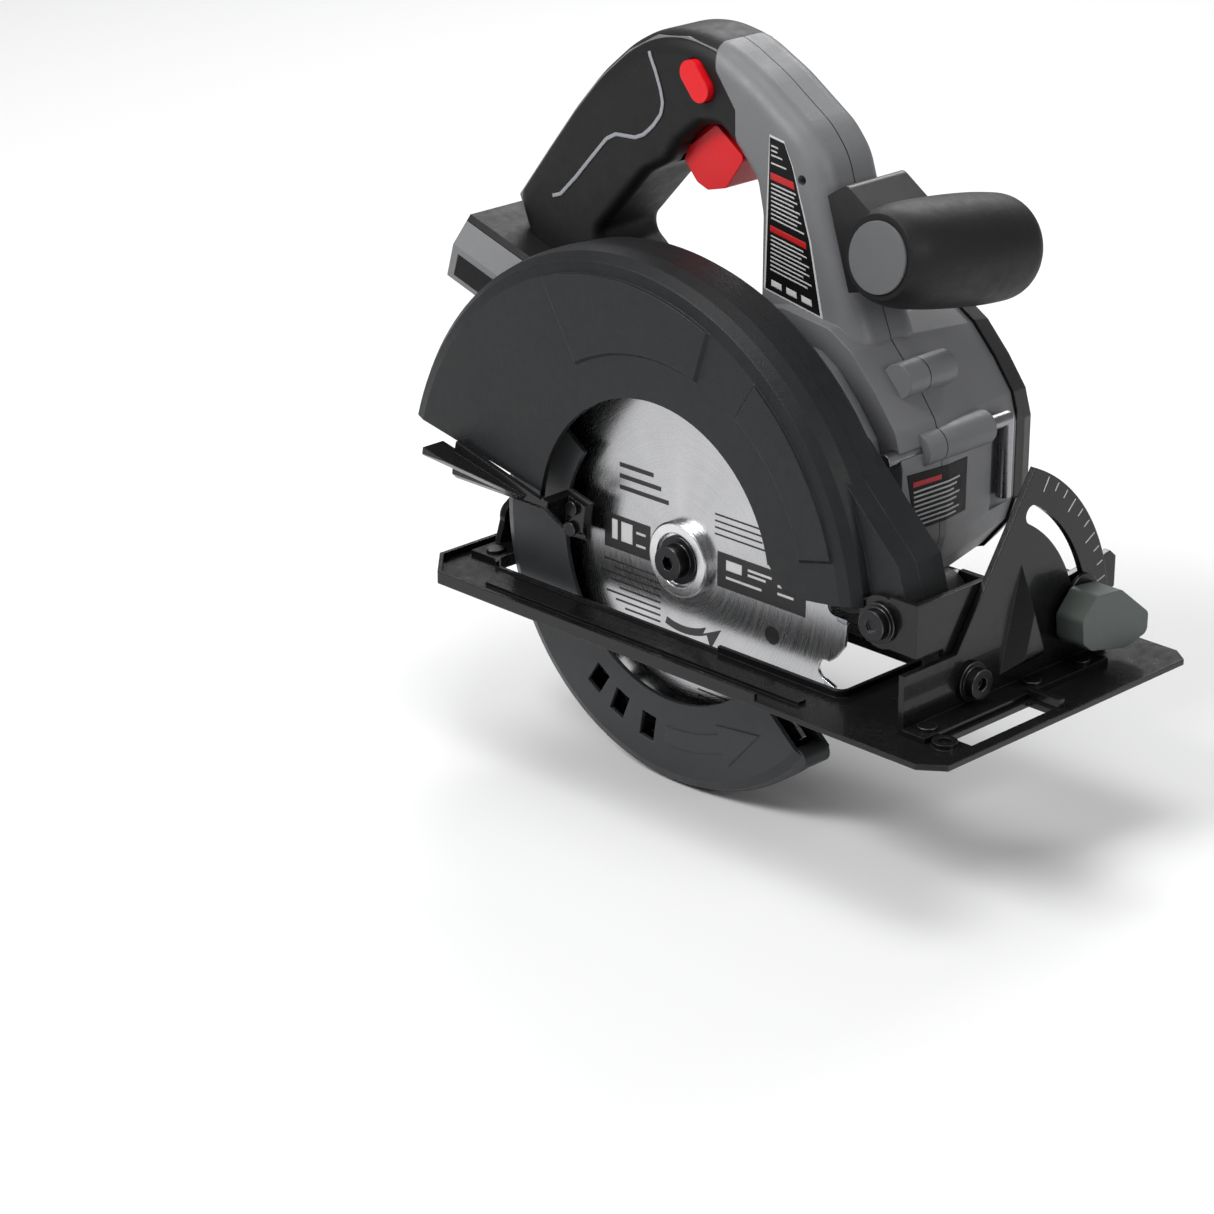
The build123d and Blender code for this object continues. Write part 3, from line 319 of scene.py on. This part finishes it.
def bumped(tree, shader, height, normal, depth, strength=0.6):
    bump = tree.nodes.new("ShaderNodeBump")
    bump.inputs["Distance"].default_value = depth * mm
    bump.inputs["Strength"].default_value = strength
    tree.links.new(height, bump.inputs["Height"])
    if normal is not None:
        tree.links.new(normal, bump.inputs["Normal"])
    tree.links.new(bump.outputs[0], shader.inputs["Normal"])


gloss_spread = 0.08


def moulded(name, color, gloss, size, depth, rubbed_and_highlight, wear_and_highlight_amount=0.5, dusty=0.1, blotch=0.2, **kinds):
    """Plastic, rubber or paint: grain, paler edges (partly worn by rubbing, partly a painted highlight) and
    a little dust.
    """
    material, tree, shader = new_finish(name, **kinds)
    skin = placed(
        tree, grain, Color=color, Grain_Size=size, Blotch=blotch,
        Gloss_Low=gloss - gloss_spread, Gloss_High=gloss + gloss_spread,
    )
    # Paler edges: partly worn by rubbing, partly a painted highlight.
    edges = placed(tree, wear_and_highlight, Color=skin.outputs["Color"], Rubbed_Color=rubbed_and_highlight, Amount=wear_and_highlight_amount)
    film = placed(
        tree, dust, Color=edges.outputs["Color"], Roughness=skin.outputs["Roughness"], Amount=dusty,
    )
    tree.links.new(film.outputs["Color"], shader.inputs["Base Color"])
    tree.links.new(film.outputs["Roughness"], shader.inputs["Roughness"])
    bumped(tree, shader, skin.outputs["Height"], edges.outputs["Normal"], depth)
    return material


def add_seam_line(material):
    """A fine dark line where the two halves of a moulding meet."""
    tree = material.node_tree
    shader = tree.nodes["Principled BSDF"]
    split = tree.nodes.new("ShaderNodeSeparateXYZ")
    tree.links.new(tree.nodes.new("ShaderNodeTexCoord").outputs["Object"], split.inputs[0])
    reach = sums(tree, "ABSOLUTE", sums(tree, "SUBTRACT", split.outputs["Y"], seam_y), 0.0)
    mask = sums(tree, "LESS_THAN", reach, 0.00028)
    before = shader.inputs["Base Color"].links[0].from_socket
    tree.links.new(blended(tree, mask, before, (0.004, 0.004, 0.004)), shader.inputs["Base Color"])


def turned(name, color, centre, rings=1600.0, contrast=0.3, depth=0.02, metallic=1.0):
    """Bright metal with fine rings about a shaft."""
    material, tree, shader = new_finish(name, metallic=metallic)
    face = placed(tree, turning, Color=color, Centre=tuple(centre), Ring_Count=rings, Contrast=contrast)
    # Bright edges on the metal: partly worn by rubbing, partly a painted highlight.
    edges = placed(tree, wear_and_highlight, Color=face.outputs["Color"], Rubbed_Color=(0.85, 0.85, 0.86), Amount=0.5)
    tree.links.new(edges.outputs["Color"], shader.inputs["Base Color"])
    tree.links.new(face.outputs["Roughness"], shader.inputs["Roughness"])
    bumped(tree, shader, face.outputs["Height"], edges.outputs["Normal"], depth, 0.3)
    return material


# In each finish below, the colour after the depth is the paler edge colour, partly worn by rubbing and
# partly a painted highlight.
guard_finish = moulded(
    "guard_charcoal", (0.012, 0.0127, 0.0138), 0.43, 0.55, 0.14, (0.075, 0.077, 0.08), 0.55, 0.02,
    specular=0.26,
)
lower_finish = moulded(
    "lower_guard_grey", (0.026, 0.0275, 0.030), 0.40, 0.5, 0.08, (0.10, 0.10, 0.105), 0.4, 0.03,
)
body_finish = moulded(
    "housing_grey", (0.165, 0.167, 0.172), 0.44, 0.6, 0.06, (0.26, 0.26, 0.27), 0.25, 0.03,
)
grip_finish = moulded(
    "grip_rubber", (0.007, 0.007, 0.0073), 0.52, 0.7, 0.10, (0.022, 0.022, 0.023), 0.3, 0.02,
    specular=0.28,
)
black_finish = moulded(
    "black_plastic", (0.011, 0.011, 0.012), 0.36, 0.6, 0.05, (0.05, 0.05, 0.052), 0.4, 0.05,
)
cap_finish = moulded("cap_grey", (0.115, 0.118, 0.122), 0.5, 0.5, 0.05, (0.2, 0.2, 0.2), 0.4, 0.05)
red_finish = moulded(
    "signal_red", (0.72, 0.004, 0.010), 0.36, 0.9, 0.02, (0.60, 0.03, 0.03), 0.2, 0.0, 0.06,
    coat=0.08, specular=0.3,
)
paint_finish = moulded(
    "black_paint", (0.006, 0.006, 0.0065), 0.24, 1.4, 0.03, (0.06, 0.06, 0.062), 0.4, 0.015, 0.2, coat=0.22,
    coat_roughness=0.05, specular=0.2,
)
lever_finish = moulded("lever_grey", (0.070, 0.082, 0.074), 0.42, 0.6, 0.04, (0.16, 0.18, 0.17), 0.5, 0.04)
cast_finish = moulded(
    "die_cast_dark", (0.030, 0.031, 0.033), 0.48, 0.8, 0.08, (0.14, 0.14, 0.145), 0.5, 0.05,
    metallic=0.2,
)
dark_metal = moulded(
    "blackened_steel", (0.028, 0.028, 0.030), 0.34, 1.0, 0.03, (0.30, 0.30, 0.31), 0.6, 0.03,
    metallic=0.85,
)
laminated = moulded(
    "stacked_steel", (0.26, 0.26, 0.27), 0.4, 0.5, 0.04, (0.5, 0.5, 0.5), 0.6, 0.02, metallic=1.0,
)
magnet_finish = moulded("ferrite", (0.035, 0.035, 0.036), 0.7, 0.9, 0.06, (0.1, 0.1, 0.1), 0.5, 0.03)
copper_finish = turned("copper", (0.72, 0.36, 0.20), (0.0126, 0, 0.05006), 2600.0, 0.35)
shaft_finish = turned("turned_steel", (0.52, 0.52, 0.53), arbor, 2400.0, 0.25)
flange_finish = turned("bright_flange", (0.66, 0.66, 0.67), arbor, 3000.0, 0.35)
key_finish = moulded(
    "key_steel", (0.30, 0.30, 0.31), 0.30, 1.2, 0.02, (0.6, 0.6, 0.6), 0.7, 0.02, metallic=1.0,
)
carbide_finish = turned("carbide", (0.34, 0.35, 0.37), arbor, 5200.0, 0.2)
blade_finish = turned("blade_steel", (0.46, 0.46, 0.47), arbor, 2200.0, 0.45)
trim_finish = moulded("trim_grey", (0.30, 0.31, 0.33), 0.5, 0.5, 0.03, (0.4, 0.4, 0.4), 0.3, 0.02)
pale_print = moulded("pale_print", (0.62, 0.62, 0.62), 0.5, 0.6, 0.01, (0.5, 0.5, 0.5), 0.2, 0.03)
red_print = moulded("red_print", (0.50, 0.012, 0.015), 0.4, 0.6, 0.01, (0.6, 0.1, 0.1), 0.2, 0.03)
blade_print = moulded("blade_print", (0.018, 0.018, 0.019), 0.42, 0.6, 0.01, (0.25, 0.25, 0.25), 0.4, 0.02)
label_finish = moulded(
    "label_black", (0.004, 0.004, 0.0045), 0.5, 1.5, 0.01, (0.02, 0.02, 0.02), 0.2, 0.0,
    specular=0.2,
)

add_seam_line(body_finish)

finishes = {
    "guard_paint": guard_finish,
    "lower_guard_paint": lower_finish,
    "housing_plastic": body_finish,
    "grip_rubber": grip_finish,
    "black_plastic": black_finish,
    "grey_cap": cap_finish,
    "red_plastic": red_finish,
    "black_paint": paint_finish,
    "lever_grey": lever_finish,
    "die_cast": cast_finish,
    "blade_steel": blade_finish,
    "carbide": carbide_finish,
    "bright_steel": shaft_finish,
    "dark_steel": dark_metal,
    "motor_steel": laminated,
    "magnet": magnet_finish,
    "copper": copper_finish,
    "fan_plastic": black_finish,
    "label_face": label_finish,
}
node_slots = {entry["node"]: entry["material_slot"] for entry in frame["record"]["subparts"]}
for name, node in frame["nodes"].items():
    node.data.materials.clear()
    node.data.materials.append(finishes[node_slots[name]])
for name, special in (("outer_flange", flange_finish), ("hex_key", key_finish)):
    frame["nodes"][name].data.materials[0] = special


# ---- Pieces made here ----

def patch(name, across, along, place):
    """A sheet of squares; place gives each corner's point from two numbers between 0 and 1."""
    bpy.ops.object.select_all(action="DESELECT")
    bpy.ops.mesh.primitive_grid_add(x_subdivisions=across, y_subdivisions=along, size=2.0)
    piece = bpy.context.object
    piece.name = name
    for vertex in piece.data.vertices:
        vertex.co = place((vertex.co.x + 1) / 2, (vertex.co.y + 1) / 2)
    return piece


def apply_modifier(piece, kind, **settings):
    bpy.context.view_layer.objects.active = piece
    modifier = piece.modifiers.new(kind.lower(), kind)
    for label, value in settings.items():
        setattr(modifier, label, value)
    bpy.ops.object.modifier_apply(modifier=modifier.name)


def closed(piece, body, finish):
    """Faces turned outward, the finish put on, and the piece tied to its body."""
    bpy.context.view_layer.objects.active = piece
    bpy.ops.object.mode_set(mode="EDIT")
    bpy.ops.mesh.select_all(action="SELECT")
    bpy.ops.mesh.normals_make_consistent(inside=False)
    bpy.ops.object.mode_set(mode="OBJECT")
    piece.data.materials.clear()
    piece.data.materials.append(finish)
    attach(piece, body)
    return piece


def laid_on(piece, node, direction, body, finish, thick=0.12):
    """A thin label pressed on to a node's surface along one axis, Y or X."""
    apply_modifier(
        piece, "SHRINKWRAP", target=frame["nodes"][node], wrap_method="PROJECT",
        use_project_x=direction == "X", use_project_y=direction == "Y", use_project_z=False,
        use_negative_direction=True, use_positive_direction=True, offset=thick * mm,
    )
    apply_modifier(piece, "SOLIDIFY", thickness=thick * mm, offset=0.0)
    return closed(piece, body, finish)


def front_label(name, corners, finish, thick=0.12, lift=0.0):
    """A four-cornered label on the motor body's front; its corners are Y and Z, going round it."""
    a, b, c, d = [Vector((0, y, z)) for y, z in corners]

    def place(s, t):
        spot = a.lerp(b, s).lerp(d.lerp(c, s), t)
        return at(80.0 + lift - max(0.0, spot.y - 56.0) * 0.1584, spot.y, spot.z)

    piece = patch(name, 14, 4, place)
    apply_modifier(piece, "SOLIDIFY", thickness=thick * mm * 2, offset=0.0)
    return closed(piece, "saw_head", finish)


def ribbon(name, line, width, y, node, body, finish, thick=0.3):
    """A narrow band that follows a line of X and Z points over a surface that faces across."""
    points = [at(x, y, z) for x, z in line]
    lengths = [0.0]
    for first, second in zip(points, points[1:]):
        lengths.append(lengths[-1] + (second - first).length)

    def place(s, t):
        reach = s * lengths[-1]
        span = max(i for i in range(len(points) - 1) if lengths[i] <= reach + 1e-9)
        share = (reach - lengths[span]) / (lengths[span + 1] - lengths[span])
        before = points[max(span - 1, 0)]
        after = points[min(span + 2, len(points) - 1)]
        start_run = (points[span + 1] - before).normalized()
        end_run = (after - points[span]).normalized()
        run = start_run.lerp(end_run, share).normalized()
        side = Vector((-run.z, 0, run.x))
        return points[span].lerp(points[span + 1], share) + side * ((t - 0.5) * width * mm)

    steps = max(8, int(lengths[-1] / (1.5 * mm)))
    return laid_on(patch(name, steps, 2, place), node, "Y", body, finish, thick)


def flat_shape(name, points, depth, body, finish):
    """A flat many-sided piece with its outline given in millimetres, pushed out by depth."""
    bpy.ops.object.select_all(action="DESELECT")
    bpy.ops.mesh.primitive_circle_add(vertices=len(points), fill_type="NGON")
    piece = bpy.context.object
    piece.name = name
    for vertex, point in zip(piece.data.vertices, points):
        vertex.co = at(*point)
    bpy.ops.object.mode_set(mode="EDIT")
    bpy.ops.mesh.select_all(action="SELECT")
    bpy.ops.mesh.extrude_region_move(TRANSFORM_OT_translate={"value": tuple(v * mm for v in depth)})
    bpy.ops.object.mode_set(mode="OBJECT")
    return closed(piece, body, finish)


def arc(centre, radius, start, stop, count):
    """Points along an arc, as first and second coordinates."""
    turns = [math.radians(start + (stop - start) * i / (count - 1)) for i in range(count)]
    return [(centre[0] + radius * math.cos(t), centre[1] + radius * math.sin(t)) for t in turns]


# The pale line let into the rubber grip.
trim_line = [
    (-54, 206.5), (-50.5, 200), (-47.6, 193), (-46.4, 188), (-47.4, 183.6), (-51.5, 178.4), (-56.3, 174.2),
    (-61, 172.2), (-66, 171.9), (-71.2, 171.6), (-76.2, 168.9), (-84, 160.5), (-93, 150.6), (-101.5, 142.2),
    (-106, 140.6),
]
ribbon("grip_trim", trim_line, 1.5, 30, "grip_cover", "saw_head", trim_finish, 0.25)

# Strut label: a black panel with red and pale bars, wrapped over the strut's side.
strut_edge = [(0.0, 36.0, 122.0), (0.45, 29.2, 150), (0.85, 19.8, 176), (1.0, 15.0, 185.0)]


def strut_point(s, t):
    """A point of the strut's panel from two shares, across and up."""
    below = max(stop for stop in strut_edge if stop[0] <= t)
    above = min(stop for stop in strut_edge if stop[0] >= t)
    share = 0.0 if above[0] == below[0] else (t - below[0]) / (above[0] - below[0])
    right = (below[1] + (above[1] - below[1]) * share, below[2] + (above[2] - below[2]) * share)
    left = (6.0 + 1.8 * t, 127.5 + 58.8 * t)
    return at(left[0] + (right[0] - left[0]) * s, 30, left[1] + (right[1] - left[1]) * s)


def strut_patch(name, s_low, s_high, t_low, t_high, finish, thick):
    def place(s, t):
        return strut_point(s_low + (s_high - s_low) * s, t_low + (t_high - t_low) * t)

    steps = (max(2, int((s_high - s_low) * 16)), max(2, int((t_high - t_low) * 40)))
    return laid_on(patch(name, steps[0], steps[1], place), "housing_right", "Y", "saw_head", finish, thick)


strut_patch("strut_border", 0.0, 1.0, 0.0, 1.0, pale_print, 0.06)
strut_panel = strut_patch("strut_panel", 0.04, 0.96, 0.012, 0.985, label_finish, 0.12)
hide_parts("side_label")
for index, (low, high) in enumerate(((0.72, 0.765), (0.39, 0.43))):
    strut_patch(f"strut_red_{index}", 0.1, 0.88, low, high, red_print, 0.18)
rows = [0.93, 0.90, 0.87, 0.82] + [0.69 - 0.027 * i for i in range(9)] + [0.36 - 0.027 * i for i in range(9)]
for index, row in enumerate(rows):
    reach = (0.88, 0.80, 0.86, 0.74)[index % 4] if index > 3 else (0.5, 0.42, 0.6, 0.7)[index]
    strut_patch(f"strut_row_{index}", 0.12, reach, row, row + 0.010, pale_print, 0.18)
for index in range(3):
    left = 0.14 + 0.26 * index
    right = 0.32 + 0.26 * index
    strut_patch(f"strut_mark_{index}", left, right, 0.045, 0.085, pale_print, 0.18)

# Motor label on the flat front of the body.
front_label("motor_label", [(32.5, 73.2), (69, 71.0), (69, 50.0), (38, 50.4)], label_finish)
label_bars = [(68.6, 36, 52, "red")]
for index in range(8):
    label_bars.append((65.6 - 1.9 * index, 36.5 + 0.2 * index, 64 - 2 * (index % 3), "pale"))
for index, (z, y_low, y_high, tone) in enumerate(label_bars):
    half = 1.0 if tone == "red" else 0.35
    corners = [(y_low, z + half), (y_high, z + half - 0.6), (y_high, z - half - 0.6), (y_low, z - half)]
    front_label(f"motor_label_bar_{index}", corners, red_print if tone == "red" else pale_print, 0.06, 0.14)

# Blade print: a dark band at arbor height, rows of plain bars and a turning arrow.
def blade_shape(name, corners, finish, lift=0.0):
    flat_shape(name, [(x, -0.61 - lift, z) for x, z in corners], (0, -0.04, 0), "blade_spindle", finish)


def blade_bar(name, x_low, x_high, z, half, finish, lift=0.0):
    corners = [(x_low, z - half), (x_high, z - half), (x_high, z + half), (x_low, z + half)]
    blade_shape(name, corners, finish, lift)


blade_bar("blade_band_front", 17.5, 62, 29.0, 7.0, blade_print)
blade_bar("blade_band_rear", -42, -17.5, 29.0, 7.0, blade_print)
for index, (x_low, x_high, z, half) in enumerate((
    (22, 30, 31.5, 2.0), (33, 45, 32.5, 0.5), (33, 42, 30.5, 0.5), (22, 40, 26.5, 0.5), (48, 58, 30.5, 0.5),
    (48, 56, 27.5, 0.5), (-38, -35, 30, 4.0), (-33, -27, 30, 4.0), (-25, -20, 26.5, 0.5),
    (-25, -20, 31.5, 0.5),
)):
    blade_bar(f"blade_light_{index}", x_low, x_high, z, half, pale_print, 0.05)
for index in range(9):
    span = (44, 36, 48)[index % 3]
    blade_bar(f"blade_row_{index}", 8, 8 + span - 2 * index, -6 - 2.4 * index, 0.35, blade_print)
for index in range(9):
    span = (30, 26, 34)[index % 3]
    blade_bar(f"blade_row_rear_{index}", -12 - span + index, -12, 17 - 2.6 * index, 0.4, blade_print)
for index in range(4):
    blade_bar(f"blade_row_top_{index}", 16, 46 - 6 * (index % 2), 42.5 + 2.6 * index, 0.35, blade_print)
for index in range(3):
    blade_bar(f"blade_row_high_{index}", -34, -8 - 4 * index, 48 + 4.5 * index, 0.9, blade_print)
sweep = arc((0, 28.24), 27.5, 252, 296, 14) + [(10.6, 0.6), (19.8, 4.6), (14.6, -4.6)]
sweep += arc((0, 28.24), 30.5, 294, 252, 13)
blade_shape("blade_arrow", sweep, blade_print)
blade_shape("blade_hole_shade", [(x, z) for x, z in arc((45.7, 10.24), 3.6, 0, 345, 24)], black_finish)

# Quadrant scale: a tick at every five degrees, with a longer one at every fifteen.
for index in range(10):
    angle = math.radians(14.3 + 5 * index)
    inner = 72.2 if index % 3 == 0 else 74.6
    middle = Vector((0, math.cos(angle), math.sin(angle)))
    side = Vector((0, -math.sin(angle), math.cos(angle)))
    spots = []
    for reach, shift in ((inner, -0.3), (78.0, -0.3), (78.0, 0.3), (inner, 0.3)):
        y = 15 + middle.y * reach + side.y * shift
        z = 12.5 + middle.z * reach + side.z * shift
        spots.append((127.5, y, z))
    flat_shape(f"scale_tick_{index}", spots, (0.08, 0, 0), "base", pale_print)


# ---- Floor, lights and camera ----

def soft_light(name, place, aim, size, power, tint=(1.0, 1.0, 1.0)):
    lamp = bpy.data.lights.new(name, "AREA")
    lamp.shape = "RECTANGLE"
    lamp.size = size[0]
    lamp.size_y = size[1]
    lamp.energy = power
    lamp.color = tint
    holder = bpy.data.objects.new(name, lamp)
    bpy.context.scene.collection.objects.link(holder)
    holder.location = place
    holder.rotation_euler = (Vector(aim) - Vector(place)).to_track_quat("-Z", "Y").to_euler()


bpy.ops.object.select_all(action="DESELECT")
bpy.ops.mesh.primitive_plane_add(size=12.0, location=(0, 0, cad_box[0][2]))
floor = bpy.context.object
floor.name = "studio_floor"
floor_finish, floor_tree, floor_shader = new_finish("studio_floor")
floor_shader.inputs["Base Color"].default_value = (0.86, 0.86, 0.86, 1.0)
floor_shader.inputs["Roughness"].default_value = 0.6
floor.data.materials.append(floor_finish)

soft_light("key", (-0.5, -1.5, 1.5), (0, 0, 0.08), (1.0, 0.7), 34.0)
soft_light("side", (1.7, 0.3, 0.9), (0, 0, 0.08), (0.8, 0.9), 9.0)
soft_light("back", (-0.9, 1.4, 1.3), (0, 0, 0.10), (1.4, 0.5), 20.0)
soft_light("top", (0.1, -0.1, 1.9), (0, 0, 0), (0.9, 0.9), 13.0)
world = bpy.data.worlds.new("studio")
world.use_nodes = True
world.node_tree.nodes["Background"].inputs[0].default_value = (0.95, 0.96, 1.0, 1.0)
world.node_tree.nodes["Background"].inputs[1].default_value = 0.22
bpy.context.scene.world = world
bpy.context.scene.view_settings.view_transform = "Standard"

azimuth = math.radians(45.2331)
elevation = math.radians(22.1638)
lens = bpy.data.cameras.new("camera")
lens.sensor_width = 36.0
lens.lens = 107.73
lens.clip_end = 30.0
camera = bpy.data.objects.new("camera", lens)
bpy.context.scene.collection.objects.link(camera)
camera.location = at(881.37, -915.34, 525.63)
camera.rotation_euler = (math.pi / 2 - elevation, 0.0, azimuth)
bpy.context.scene.camera = camera

bpy.context.view_layer.update()
